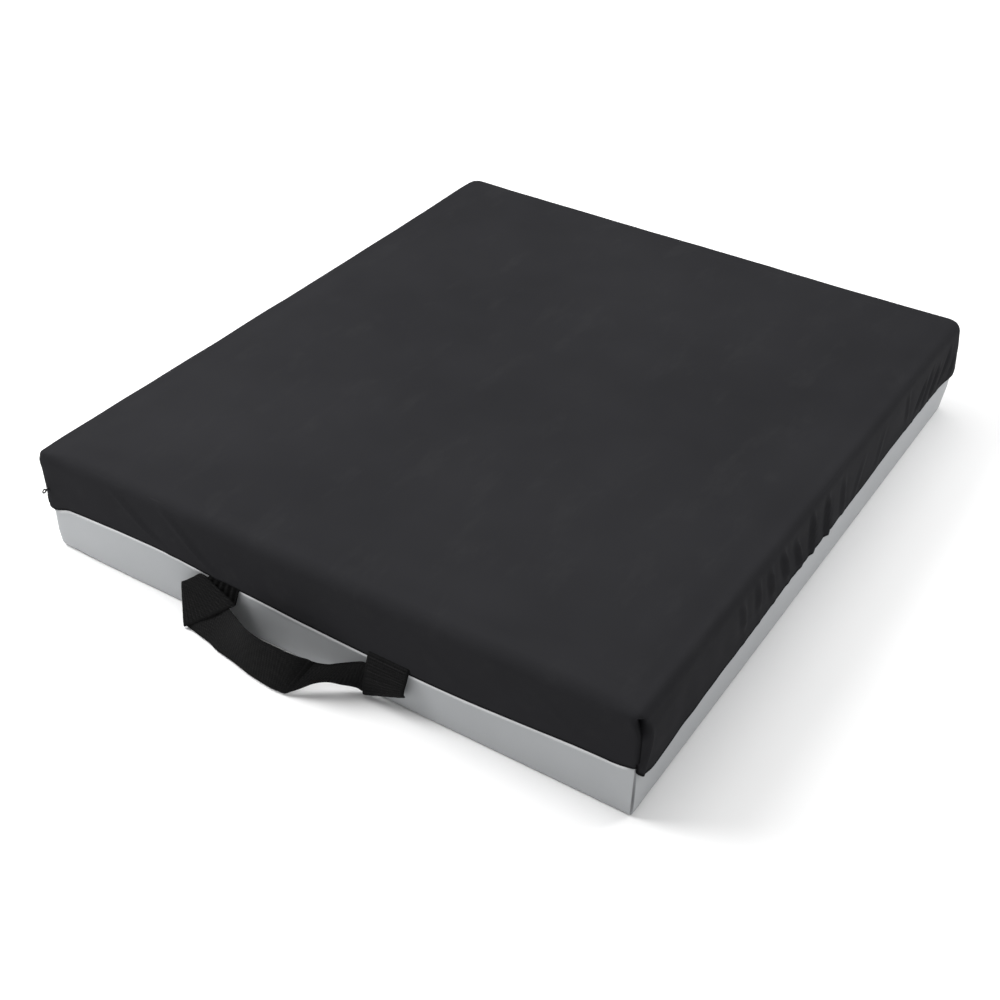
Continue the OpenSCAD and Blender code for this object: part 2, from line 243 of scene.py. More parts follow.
def sheet_solid(name, p, n, quads, all_quads, thickness, material, shade, round_edge=0.35):
    """A sheet of that thickness under some quads of a larger surface p, whose normals n it
    keeps, so that pieces cut from one surface meet without a line. Outer edges are rounded."""
    used, q = np.unique(quads, return_inverse=True)
    q = q.reshape(-1, 4)
    outer, normal = p[used], n[used]
    inner = outer - normal * thickness
    count = len(used)

    # the rim: edges with a quad on one side only; some are cuts through the larger surface
    keys, times = np.unique(quad_edges(all_quads)[1], return_counts=True)
    shared = keys[times == 2]
    edges, keys = quad_edges(q)[0], quad_edges(quads)[1]
    once, times = np.unique(keys, return_counts=True)
    on_rim = np.isin(keys, once[times == 1])
    rim, is_cut = edges[on_rim], np.isin(keys[on_rim], shared)
    out = unit(np.cross(outer[rim[:, 1]] - outer[rim[:, 0]], normal[rim[:, 0]]))
    out[is_cut] = 0
    push = np.zeros((count, 3))
    for k in (0, 1):
        np.add.at(push, rim[:, k], out)
    push = np.where(np.linalg.norm(push, axis=1, keepdims=True) > 1e-9, unit(push), 0)

    rim_points = np.unique(rim)
    middle_of = np.full(count, -1)
    middle_of[rim_points] = 2 * count + np.arange(len(rim_points))
    middle = (outer + inner)[rim_points] / 2 + push[rim_points] * thickness * round_edge
    points = np.concatenate([outer, inner, middle])
    a, b = rim.T
    m, w = middle_of[a], middle_of[b]
    rims = np.stack([b, a, m, w, w, m, count + a, count + b], 1).reshape(-1, 4)
    faces = np.concatenate([q, q[:, ::-1] + count, rims])
    obj = make(name, points, faces, material)
    store_shade(obj, np.concatenate([shade[used], shade[used], shade[used][rim_points]]))

    # smooth normals over the faces and round the rim, flat ones at a cut
    loops, body = faces.reshape(-1), q.size
    rim_normal = np.concatenate([normal * 0.8 + push * 0.6, -normal * 0.8 + push * 0.6, push[rim_points]])
    round_rim = rim_normal[loops[2 * body:]]
    flat = np.repeat(unit(face_normals(points, rims)), 4, axis=0)
    cut_face = np.repeat(is_cut, 8)
    round_rim[cut_face] = flat[cut_face]
    known = np.linalg.norm(round_rim, axis=1, keepdims=True) > 1e-6
    normals = np.concatenate([normal[loops[:body]], -normal[loops[body:2 * body] - count],
                              np.where(known, unit(round_rim), flat)])
    obj.data.normals_split_custom_set([tuple(v) for v in normals])
    return obj


# ---------- materials ----------

def lin(r, g, b):
    """Linear colour of an 8-bit sRGB one."""
    channels = (c / 255 for c in (r, g, b))
    return tuple(((c + 0.055) / 1.055) ** 2.4 if c > 0.04 else c / 12.92 for c in channels) + (1,)


def tone(value):
    return (value, value, value, 1)


class Paint:
    """A Principled material, with a short call for each kind of node that it uses."""

    def __init__(self, name):
        self.mat = bpy.data.materials.new(name)
        self.mat.use_nodes = True
        self.nodes, self.links = self.mat.node_tree.nodes, self.mat.node_tree.links
        self.shader = self.nodes["Principled BSDF"]
        self.coord = self.nodes.new("ShaderNodeTexCoord").outputs["Object"]

    def join(self, socket, value):
        """Gives a socket a plain value or another node's output."""
        if isinstance(value, bpy.types.NodeSocket):
            self.links.new(value, socket)
        else:
            socket.default_value = value

    def add(self, kind, output, inputs, **settings):
        """A new node with those inputs and settings; returns one of its outputs."""
        node = self.nodes.new("ShaderNode" + kind)
        for key, value in settings.items():
            setattr(node, key, value)
        for key, value in inputs.items():
            self.join(node.inputs[key], value)
        return node.outputs[output]

    def set(self, **values):
        """Sets the shader's own sockets."""
        for key, value in values.items():
            self.join(self.shader.inputs[key.replace("_", " ")], value)
        return self

    def noise(self, scale, detail=2, roughness=0.5, stretch=None):
        """Noise, drawn out along the axes whose stretch is under 1."""
        at = self.coord
        if stretch:
            at = self.add("Mapping", "Vector", {"Vector": at, "Scale": stretch})
        inputs = {"Vector": at, "Scale": scale, "Detail": detail, "Roughness": roughness}
        return self.add("TexNoise", "Fac", inputs)

    def wave(self, scale, direction, distortion):
        return self.add("TexWave", "Fac", {"Vector": self.coord, "Scale": scale, "Distortion": distortion},
                        bands_direction=direction)

    def cells(self, scale):
        return self.add("TexVoronoi", "Distance", {"Vector": self.coord, "Scale": scale})

    def math(self, operation, a, b):
        return self.add("Math", 0, {0: a, 1: b}, operation=operation)

    def plus(self, a, b):
        return self.math("ADD", a, b)

    def times(self, a, b):
        return self.math("MULTIPLY", a, b)

    def ramp(self, fac, *stops):
        colour = self.add("ValToRGB", "Color", {"Fac": fac})
        for element, (at, value) in zip(colour.node.color_ramp.elements, stops):
            element.position, element.color = at, value
        return colour

    def mix(self, fac, a, b):
        return self.add("Mix", "Result", {"Factor": fac, "A": a, "B": b}, data_type="RGBA")

    def span(self, value, lo, hi):
        return self.add("MapRange", "Result", {"To Min": lo, "To Max": hi, "Value": value})

    def shade(self, most):
        """The mesh's own shade value, scaled so that full shade gives `most`."""
        return self.times(self.add("Attribute", "Fac", {}, attribute_name="shade"), most)

    def bump(self, height, strength, distance):
        return self.add("Bump", "Normal", {"Strength": strength, "Distance": distance, "Height": height})


def tones(paint, dark, light, scale):
    """Colour that drifts between two close tones."""
    return paint.ramp(paint.noise(scale, 3, 0.55), (0.3, dark), (0.7, light))


def coated_black():
    """Matte polyurethane-coated stretch fabric: a fine knit under the coat, faint rub marks, and painted
    shade where the mesh's shade value says.
    """
    m = Paint("black_coated")
    base = tones(m, lin(37, 37, 39), lin(41, 41, 43), 9)
    marks = m.ramp(m.noise(55, 6, 0.65, (1, 0.35, 1)), (0.55, tone(0)), (0.8, tone(0.35)))
    knit = m.plus(m.wave(420, "X", 1.5), m.wave(420, "Y", 1.5))
    # painted shade: the mesh's shade value darkens the hem, the right slit and the hollow below it
    m.set(Base_Color=m.mix(m.shade(0.92), m.mix(marks, base, lin(50, 50, 51)), lin(4, 4, 5)),
          Roughness=m.span(m.noise(30, 4), 0.6, 0.72), Specular_IOR_Level=0.01,
          Normal=m.bump(m.plus(m.times(knit, 0.35), m.noise(900, 3)), 0.16, 0.12 * MM))
    return m.mat


def coated_grey():
    """Grey PVC-coated base fabric, smoother than the top, with a faint cloth grain, painted shade down the
    seam grooves of the two front uprights, and a painted highlight along the roll under the front seam."""
    m = Paint("grey_coated")
    base = tones(m, lin(164, 166, 168), lin(173, 175, 177), 7)
    dust = m.ramp(m.noise(38, 6, 0.7), (0.62, tone(0)), (0.85, tone(0.5)))
    # painted shade: a dark line down the seam groove of each front upright
    axes = m.add("SeparateXYZ", "X", {"Vector": m.coord}).node.outputs
    from_side = m.math("SUBTRACT", HALF_W - WALL_IN, m.math("ABSOLUTE", axes["X"], 0.0))
    from_front = m.math("SUBTRACT", axes["Y"], FRONT + FRONT_IN)
    from_seam = m.times(m.math("MAXIMUM", from_side, from_front), 0.5 / MM)
    seam = m.ramp(from_seam, (0.2, tone(0.85)), (0.5, tone(0)))
    # painted highlight: the shade value of the grey base makes its front roll paler
    cloth = m.mix(m.shade(0.65), m.mix(dust, base, lin(160, 161, 162)), lin(246, 247, 248))
    weave = m.plus(m.wave(330, "X", 0.6), m.plus(m.wave(330, "Y", 0.6), m.wave(330, "Z", 0.6)))
    m.set(Base_Color=m.mix(seam, cloth, lin(78, 78, 80)),
          Roughness=m.span(m.noise(25, 3), 0.42, 0.55), Specular_IOR_Level=0.12,
          Normal=m.bump(m.plus(m.times(weave, 0.3), m.noise(700, 2)), 0.14, 0.1 * MM))
    return m.mat


def open_foam(name, dark, light):
    """Cut open-cell foam: small pores of two sizes."""
    m = Paint(name)
    pores = m.plus(m.cells(420), m.times(m.cells(1100), 0.6))
    duller = tuple(c * 0.88 for c in light[:3]) + (1,)
    colour = m.mix(m.span(m.noise(6, 3), 0.0, 0.35), m.ramp(pores, (0.15, dark), (0.75, light)), duller)
    m.set(Base_Color=colour, Roughness=m.span(m.noise(60, 2), 0.85, 0.97), Specular_IOR_Level=0.2,
          Sheen_Weight=0.2, Sheen_Roughness=0.6, Normal=m.bump(pores, 0.55, 0.6 * MM))
    return m.mat


def woven(name, dark, light, pitch, ribs=1.0):
    """Plain weave of that thread pitch, for tape and webbing."""
    m = Paint(name)
    scale = 0.16 / pitch
    warp = m.plus(m.wave(scale, "X", 0.4), m.wave(scale, "Y", 0.4))
    threads = m.times(m.times(warp, 0.5), m.wave(scale, "Z", 0.4))
    height = m.plus(m.times(threads, ribs), m.times(m.noise(1400, 4, 0.6), 0.8))
    # painted shade: the mesh's shade value darkens the webbing in its rib hollows, edges, root, folds and
    # twist
    m.set(Base_Color=m.mix(m.shade(0.9), m.ramp(height, (0.25, dark), (0.85, light)), lin(3, 3, 3)),
          Roughness=m.span(m.noise(200, 3), 0.72, 0.9), Specular_IOR_Level=0.04,
          Normal=m.bump(height, 0.4, 0.2 * MM))
    return m.mat


def thread(name, dark, light):
    """Twisted sewing thread."""
    m = Paint(name)
    twist = m.wave(700, "DIAGONAL", 2.0)
    m.set(Base_Color=m.ramp(twist, (0.2, dark), (0.8, light)), Roughness=m.span(m.noise(300, 2), 0.6, 0.8),
          Sheen_Weight=0.3, Normal=m.bump(twist, 0.5, 0.1 * MM))
    return m.mat


def moulded(name, dark, light, rough, metallic=0.0):
    """Moulded nylon or lacquered metal: fine mottling, uneven gloss."""
    m = Paint(name)
    m.set(Base_Color=m.ramp(m.noise(160, 5, 0.6), (0.35, dark), (0.75, light)),
          Roughness=m.span(m.noise(240, 4), rough - 0.08, rough + 0.12), Metallic=metallic,
          Normal=m.bump(m.noise(800, 3), 0.2, 0.08 * MM))
    return m.mat


BLACK = coated_black()
GREY = coated_grey()
FIRM_FOAM = open_foam("firm_foam", lin(196, 190, 170), lin(228, 223, 206))
SOFT_FOAM = open_foam("soft_foam", lin(214, 200, 150), lin(240, 230, 190))
TAPE = woven("zip_tape", lin(18, 18, 19), lin(40, 40, 42), 0.6 * MM)
WEBBING = woven("webbing", lin(12, 12, 13), lin(44, 44, 44), 0.7 * MM, ribs=0.25)
NYLON = moulded("nylon_coil", lin(24, 24, 25), lin(44, 44, 46), 0.42)
METAL = moulded("slider_metal", lin(14, 14, 15), lin(40, 40, 42), 0.38, metallic=0.4)
BLACK_THREAD = thread("black_thread", lin(18, 18, 18), lin(52, 52, 54))
GREY_THREAD = thread("grey_thread", lin(120, 121, 123), lin(165, 166, 168))


def belongs(piece, node, body=None):
    """Hides the CAD node that a piece replaces and, if a body is given, parents the piece to that
    body's empty."""
    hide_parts(node)
    if body:
        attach(piece, body)


# ---------- the cover's edge lines and creases ----------

# Height of the front seam along X, and of the flap's lower edge along Y, in mm
FRONT_SEAM = [(-215.5, 32.3), (-214, 30.6), (-212, 30.1), (-209, 30), (-204.5, 31.6), (-199, 33.6),
              (-194, 33.9), (-180, 34.6), (-150, 35.8), (-110, 36), (-85, 34.2), (-50, 32.6), (0, 30.2),
              (40, 29), (95, 29), (134, 31), (165, 33), (190, 34.2), (204, 34.5), (209, 35.5),
              (212.5, 36.3), (215, 37)]
RIGHT_EDGE = [(-250, 34.2), (-248, 31.6), (-245, 29.5), (-241, 28.6), (-236, 28.1), (-226, 27.7),
              (-210, 27.9), (-175, 28.3), (-111, 29.5), (-40, 31.4), (38, 31.4), (126, 33.2),
              (174, 33.6), (215, 32.6), (240, 33.4), (250, 35)]
LEFT_EDGE = [(-250, 34), (-244, 30), (-230, 29), (-190, 31), (-120, 31.6), (-40, 30.6), (60, 31.8),
             (150, 30.8), (210, 31.2), (250, 32)]
BACK_EDGE = [(-215, 32), (-190, 31.4), (-90, 32), (20, 30.8), (120, 32), (190, 32.8), (215, 35)]


def edge_height(p, side_of):
    """Height of the cover's lower edge below each point of the box surface."""
    x, y = p[:, 0] / MM, p[:, 1] / MM
    z = np.where(x > 0, curve(RIGHT_EDGE, y), curve(LEFT_EDGE, y))
    for side, edge in (("back", BACK_EDGE), ("front", FRONT_SEAM)):
        z = np.where(side_of == side, curve(edge, x), z)
    return z * MM


# Puckers of the side flaps: (place along the side at the top, at the bottom, top and bottom
# height, depth, half width), all in mm. The right ones are the photographed side.
RIGHT_PUCKERS = [(-130, -121, 68, 44, 1.5, 4.2), (-110, -100, 72, 44, 1.7, 4.2), (-92, -79, 68, 40, 1.9, 4),
                 (-74, -57, 70, 38, 2.7, 4.2), (-50, -36, 60, 34, 2.5, 3.6), (-27, -17, 70, 31, 2.6, 3.8),
                 (-3, 7, 70, 29, 2.6, 3.5), (26, 33, 62, 33, 1.3, 4),
                 (60, 52, 58, 33, 0.5, 5), (98, 92, 60, 35, 0.5, 5), (143, 149, 68, 42, 1.0, 3.4),
                 (181, 167, 57, 38, 1.3, 3.2), (194, 182, 60, 34, 1.2, 2.8), (207, 199, 56, 34, 1.4, 2.8),
                 (228, 216, 62, 36, 1.2, 3), (238, 236, 52, 34, 1.0, 3)]
LEFT_PUCKERS = [(-180, -172, 66, 38, 0.6, 4), (-120, -128, 60, 34, 0.8, 3.5), (-64, -55, 68, 36, 0.9, 3.4),
                (-40, -36, 56, 33, 0.7, 3), (18, 26, 64, 34, 0.9, 3.4), (70, 62, 58, 35, 0.6, 4.5),
                (122, 130, 66, 36, 0.8, 3.6), (176, 168, 60, 37, 0.9, 3), (205, 212, 58, 38, 0.8, 3)]
BACK_PUCKERS = [(-176, -182, 60, 38, 0.8, 3.2), (-120, -112, 66, 36, 0.7, 3.6), (-58, -64, 58, 34, 0.9, 3.2),
                (6, 14, 66, 35, 0.8, 3.6), (74, 68, 60, 36, 0.6, 4.2), (132, 140, 64, 34, 0.9, 3.2),
                (184, 176, 58, 38, 0.8, 3)]


# Long soft creases of the front face: X and Z of the upper end, of the lower end, and depth, in mm
FRONT_CREASES = [(-155, 66, -122, 40, 1.3), (-117, 71, -79, 37, 1.5), (60, 66, 96, 44, 0.5),
                 (150, 60, 176, 42, 0.5)]


def puckers(rows, s, z):
    """Relief of a family of puckers: each a soft ridge with a hollow on either side."""
    total = np.zeros(len(s))
    for s_top, s_low, z_top, z_low, depth, width in rows:
        t = (z_top * MM - z) / ((z_top - z_low) * MM)
        centre = (s_top + (s_low - s_top) * np.clip(t, -0.2, 1.3)) * MM
        d = (s - centre) / (width * MM)
        fade = step(-0.35, 0.25, t) * (1 - 0.85 * step(0.7, 1.15, t))
        total += depth * MM * fade * (1 - 1.6 * d**2) * np.exp(-d**2)
    return total


# ---------- the puffed form ----------

def pad_points(box_points):
    """The rounded pad. The front roll tightens towards both front corners."""
    x = box_points[:, 0]
    roll = ROLL * (1 - 0.85 * bell(x + HALF_W, 13 * MM)) * (1 - 0.6 * bell(x - HALF_W, 14 * MM))
    edge = EDGE * (1 - 0.95 * bell(x + HALF_W, 20 * MM) * bell(box_points[:, 1] - FRONT, 26 * MM))
    return round_box(box_points, HALF_W, FRONT, BACK, TOP, roll, edge, CORNER, UPRIGHT, CAP_Z)


PUFF_INSET, PUFF_MOST = 2 * MM, 4 * MM      # the cloth starts that much smaller, and may move that far
PUFF_VOXEL, PUFF_PRESSURE, PUFF_FRAMES = 6 * MM, 4, 20


def puffed_field():
    """Blows up a slightly small copy of the pad as cloth, and returns how far each of its
    points went outwards: the crown of the faces, with held edges and corners."""
    xs = lines(-HALF_W, HALF_W, 12 * MM, [0, 4, 10], [0, 4, 10])
    ys = lines(FRONT, BACK, 12 * MM, [0, 4, 10], [0, 4, 10])
    zs = lines(0, TOP, 9 * MM, [0, 4], [0, 4, 10])
    p, quads, _ = box_grid(xs, ys, zs, SIDES)
    p = pad_points(p)
    centre = np.array([0, 0, TOP / 2])
    half = np.array([HALF_W, BACK, TOP / 2])
    p = centre + (p - centre) * (half - PUFF_INSET) / half
    pad = make("puff", p, quads, BLACK)
    bpy.context.view_layer.objects.active = pad
    pad.select_set(True)
    remesh = pad.modifiers.new("remesh", "REMESH")
    remesh.mode, remesh.voxel_size = "VOXEL", PUFF_VOXEL
    bpy.ops.object.modifier_apply(modifier=remesh.name)
    count = len(pad.data.vertices)
    start = np.empty(count * 3)
    pad.data.vertices.foreach_get("co", start)
    start = start.reshape(-1, 3)
    normal = np.array([v.normal for v in pad.data.vertices])
    # held: the underside, the seam between the two fabrics, and the stiff edges a little
    x, y, z = np.abs(start[:, 0]), start[:, 1], start[:, 2]
    near_side = np.minimum(HALF_W - x, np.minimum(y - FRONT, BACK - y))
    held = np.maximum(bell(z - FLAP_Z, 4 * MM) * 0.8, 1 - step(2 * MM, 6 * MM, z))
    held = np.maximum(held, 0.6 * bell(near_side, 7 * MM) * bell(TOP - z, 7 * MM))
    group = pad.vertex_groups.new(name="held")
    for i, w in enumerate(held):
        group.add([i], float(min(w, 1)), "REPLACE")
    cloth = pad.modifiers.new("cloth", "CLOTH")
    sheet = cloth.settings
    sheet.quality, sheet.mass = 6, 0.3
    sheet.tension_stiffness = sheet.compression_stiffness = 20
    sheet.shear_stiffness, sheet.bending_stiffness = 8, 2
    sheet.use_pressure, sheet.uniform_pressure_force = True, PUFF_PRESSURE
    sheet.effector_weights.gravity = 0
    sheet.vertex_group_mass = "held"
    cloth.collision_settings.use_collision = False
    scene = bpy.context.scene
    for number in range(1, PUFF_FRAMES + 1):
        scene.frame_set(number)
    after = pad.evaluated_get(bpy.context.evaluated_depsgraph_get()).data
    end = np.empty(count * 3)
    after.vertices.foreach_get("co", end)
    went = np.einsum("ij,ij->i", end.reshape(-1, 3) - start, normal)
    scene.frame_set(1)
    bpy.data.objects.remove(pad)
    return start, np.clip(went, 0, PUFF_MOST)


def sampler(points, values, near=8):
    """Looks up a value at any point, from the nearest points of a field."""
    tree = KDTree(len(points))
    for i, p in enumerate(points):
        tree.insert(p, i)
    tree.balance()

    def look(p):
        out = np.empty(len(p))
        for i, q in enumerate(p):
            found = tree.find_n(q, near)
            w = np.array([1 / (d + 3 * MM) ** 2 for _, _, d in found])
            out[i] = (w * values[[k for _, k, _ in found]]).sum() / w.sum()
        return out
    return look


crown = sampler(*puffed_field())


# ---------- black cover ----------

def cover_grid():
    """The cover as a sharp box: (points, quads, side of each quad, side of each point)."""
    near_side = [0, 0.5, 1.2, 2, 3, 4, 5.6, 7.8, 10.4]
    xs = lines(-HALF_W, HALF_W, 3.2 * MM, near_side, near_side)
    ys = lines(FRONT, BACK, 2.0 * MM, [0, 0.5, 1.1, 2, 3.2, 4.6, 6, 7.5, 9, 11.4, 14],
               [0, 0.6, 1.4, 2.4, 4, 6, 8.4, 11])
    zs = lines(FLAP_Z, TOP, 2 * MM, [0, 0.5, 1.3, 2.4, 4], [0, 0.5, 1.2, 2, 3, 4, 5.5, 7.2, 9])
    box, quads, side = box_grid(xs, ys, zs, ["top", "front", "back", "left", "right"], slit_top=CAP_Z)
    own = np.full(len(box), "top", dtype="<U6")
    for name in ("left", "right", "back", "front", "top"):
        own[np.unique(quads[side == name])] = name
    # the two corner lines below the slit's end belong to the flaps
    for name in ("left", "right"):
        mine = np.setdiff1d(np.unique(quads[side == name]), np.unique(quads[side != name]))
        own[mine] = name
    return box, quads, side, own


def cover_relief(p, box, own, s_top, s_low):
    """How far each point stands out from the plain rounded pad. s_top is its way down from the top,
    s_low its height above the lower edge."""
    x, y, z = box.T
    front, flap = own == "front", np.isin(own, ("left", "right", "back"))
    body = step(0, 16 * MM, s_top)                       # 0 at the top edge, 1 lower down
    out = 0.5 * crown(p) + 0.26 * MM * ripple(p, 0.11, 1) + 0.09 * MM * ripple(p, 0.035, 2)
    # wavy left top edge, and a little of it on the right one
    side_edge = bell(HALF_W - np.abs(x), 26 * MM) * bell(s_top, 14 * MM)
    out += np.where(x < 0, 0.6, 0.25) * MM * ripple(box * (0, 1, 0), 0.16, 5) * side_edge
    for name, rows, along in (("right", RIGHT_PUCKERS, y), ("left", LEFT_PUCKERS, y),
                              ("back", BACK_PUCKERS, x)):
        out += puckers(rows, along, z) * (own == name) * body
    out += flap * body * (0.5 * MM + 0.22 * MM * ripple(p * (1, 1, 0.4), 0.028, 7))
    out = np.where(flap, np.maximum(out, 0), out)
    # the sewn back corners bulge at mid height, and their hem stands out
    from_corner = np.where(own == "back", HALF_W - np.abs(x), BACK - y)
    out += flap * 2.9 * MM * bell(from_corner, 28 * MM) * bell(z - 48 * MM, 17 * MM)
    out += flap * 3.0 * MM * bell(from_corner, 16 * MM) * (1 - step(0, 18 * MM, s_low))
    # the foam pushes the left and back top edges out
    out += 1.1 * MM * np.maximum(bell(HALF_W + x, 24 * MM), bell(BACK - y, 24 * MM)) * bell(s_top, 30 * MM)
    # the flap's hem is a slightly thicker folded edge
    out += flap * 0.25 * MM * (1 - step(5.5 * MM, 7 * MM, s_low))
    # front face: long soft creases, two of them fanning down from the left, and a folded lower edge
    for x_top, z_top, x_low, z_low, depth in FRONT_CREASES:
        t = (z_top * MM - z) / ((z_top - z_low) * MM)
        d = (x - (x_top + (x_low - x_top) * t) * MM) / (4.2 * MM)
        out += front * depth * MM * bell(t - 0.5, 0.7) * (1 - 0.9 * d**2) * np.exp(-d**2)
    out += front * 0.5 * MM * (1 - step(3 * MM, 5 * MM, s_low)) * step(-0.2 * MM, 1.2 * MM, s_low)
    out += front * 0.45 * MM * bell(s_low - 9 * MM, 7 * MM)
    # sewn back corners: a narrow groove down the middle of each
    corner = np.abs(np.abs(p[:, 0]) - (HALF_W - CORNER * (1 - math.sqrt(0.5))))
    out -= 0.45 * MM * bell(corner, 1.0 * MM) * (p[:, 1] > BACK - CORNER) * step(3 * MM, 8 * MM, s_top)
    return out


def shape_front_corners(p, box, own, s_top):
    """The right flap's end flares a little and turns in again to the slit, along a ridge that runs
    down from the corner. The left corner is pulled tight. Returns the painted shade of the right slit and of
    the hollow under its top."""
    x, y, _ = box.T
    sx, right, front, upright = np.sign(x), x > 0, own == "front", own != "top"
    from_left = np.hypot(x + HALF_W, y - FRONT)
    p[:, 2] -= 2.6 * MM * bell(from_left, 20 * MM) * bell(s_top, 16 * MM)

    # in mm: the way down from the top, back from the front face, in from the side, and the ridge
    down, behind, beside = s_top / MM, (y - FRONT) / MM, (HALF_W - np.abs(x)) / MM
    ridge = curve([(0, 1.2), (4, 3), (9.5, 5.6), (17, 8.8), (26, 8.6), (34.5, 6.4), (40, 4.4), (52, 4)], down)
    on_flap = ((own == "left") | (own == "right")) & (behind < 70)
    flare = 1.5 * MM * step(5, 20, down) * bell(behind - 15, np.where(behind < 15, 9.0, 24.0))
    turn = np.clip((ridge - behind) / ridge, 0, 1) ** 1.2
    turned = -(3.0 + 1.6 * bell(down - 12, 7)) * MM * turn * step(3, 8, down)
    rim = 1.4 * MM * bell(behind - ridge, 1.8) * step(5, 14, down)
    lip = -2.0 * MM * np.exp(-behind / 1.0) * step(9, 13, down)
    held = 1 - 0.8 * step(32, 39, down)         # the base's corner holds the flap's end out, low down
    slack, lip_slack = np.where(right, 1.0, 0.12), np.where(right, held, 0.15)
    p[:, 0] += sx * (slack * (flare + turned * held + rim) + lip_slack * lip) * on_flap
    p[:, :2] -= 0.8 * MM * (bell(from_left, 12 * MM) * step(0, 6, down))[:, None]
    # the front face's own ends curl in at the slit
    end = np.exp(-beside / 1.0) * front * step(9, 12, down)
    p[:, 1] += 2.8 * MM * end * np.where(right, 1, 0.25)
    p[:, 0] -= sx * 0.6 * MM * end
    # a deep little pocket opens under the top edge of the right corner
    pocket = step(2.6, 5, down) * (1 - step(9, 20, down)) * right * upright
    wide = 1 + 2.6 * (1 - step(3, 17, down))
    across = np.where(front, bell(beside, wide), bell(behind, 0.9 * ridge))
    p[:, 0] -= 3.6 * MM * pocket * across
    p[:, 1] += 4.4 * MM * pocket * across

    # painted shade: dark along the right slit and in the hollow under the corner's top edge
    slit = np.where(front, bell(beside, 1.0), bell(behind, 0.9)) * step(8, 12, down)
    hollow = np.where(front, bell(beside, 1.3), 1 - step(0.35, 1.0, behind / ridge))
    hollow = hollow * step(3.5, 6, down) * (1 - step(9, 24, down))
    return np.maximum(0.95 * slit, hollow) * right * upright


def cover_surface():
    """The cover's outer surface: (points, normals, quads, side of each quad, box points, shade)."""
    box, quads, side, own = cover_grid()
    low = edge_height(box, own)
    lowered = box.copy()
    lowered[:, 2] += (low - FLAP_Z) * (1 - step(0, 24 * MM, box[:, 2] - FLAP_Z)) * (own != "top")
    s_top, s_low = TOP - box[:, 2], lowered[:, 2] - low
    p = pad_points(lowered)
    p = p + point_normals(p, quads) * cover_relief(p, box, own, s_top, s_low)[:, None]
    slit_shade = shape_front_corners(p, box, own, s_top)
    # painted shade: a dark band along the cover's lower edge
    hem_shade = 0.85 * (1 - step(1.1 * MM, 2.6 * MM, s_low)) * (own != "top")
    return p, point_normals(p, quads), quads, side, box, np.maximum(hem_shade, slit_shade)


cover, cover_n, cover_q, cover_side, cover_box, cover_shade = cover_surface()
middle_y, middle_z = cover_box[cover_q].mean(axis=1).T[1:]
on_flap = (cover_side == "left") | (cover_side == "right")
is_front = ((cover_side == "front") | ((cover_side == "top") & (middle_y < STRIP_Y))
            | (on_flap & (middle_y < HINGE_Y) & (middle_z > CAP_Z)))
cover_front, cover_top = (sheet_solid(name, cover, cover_n, cover_q[part], cover_q, SHEET, BLACK, cover_shade)
                          for name, part in (("cover_front", is_front), ("cover_top", ~is_front)))
belongs(cover_front, "front_panel")
belongs(cover_top, "top_panel", "top_cover")
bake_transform(cover_front)


# ---------- grey base ----------

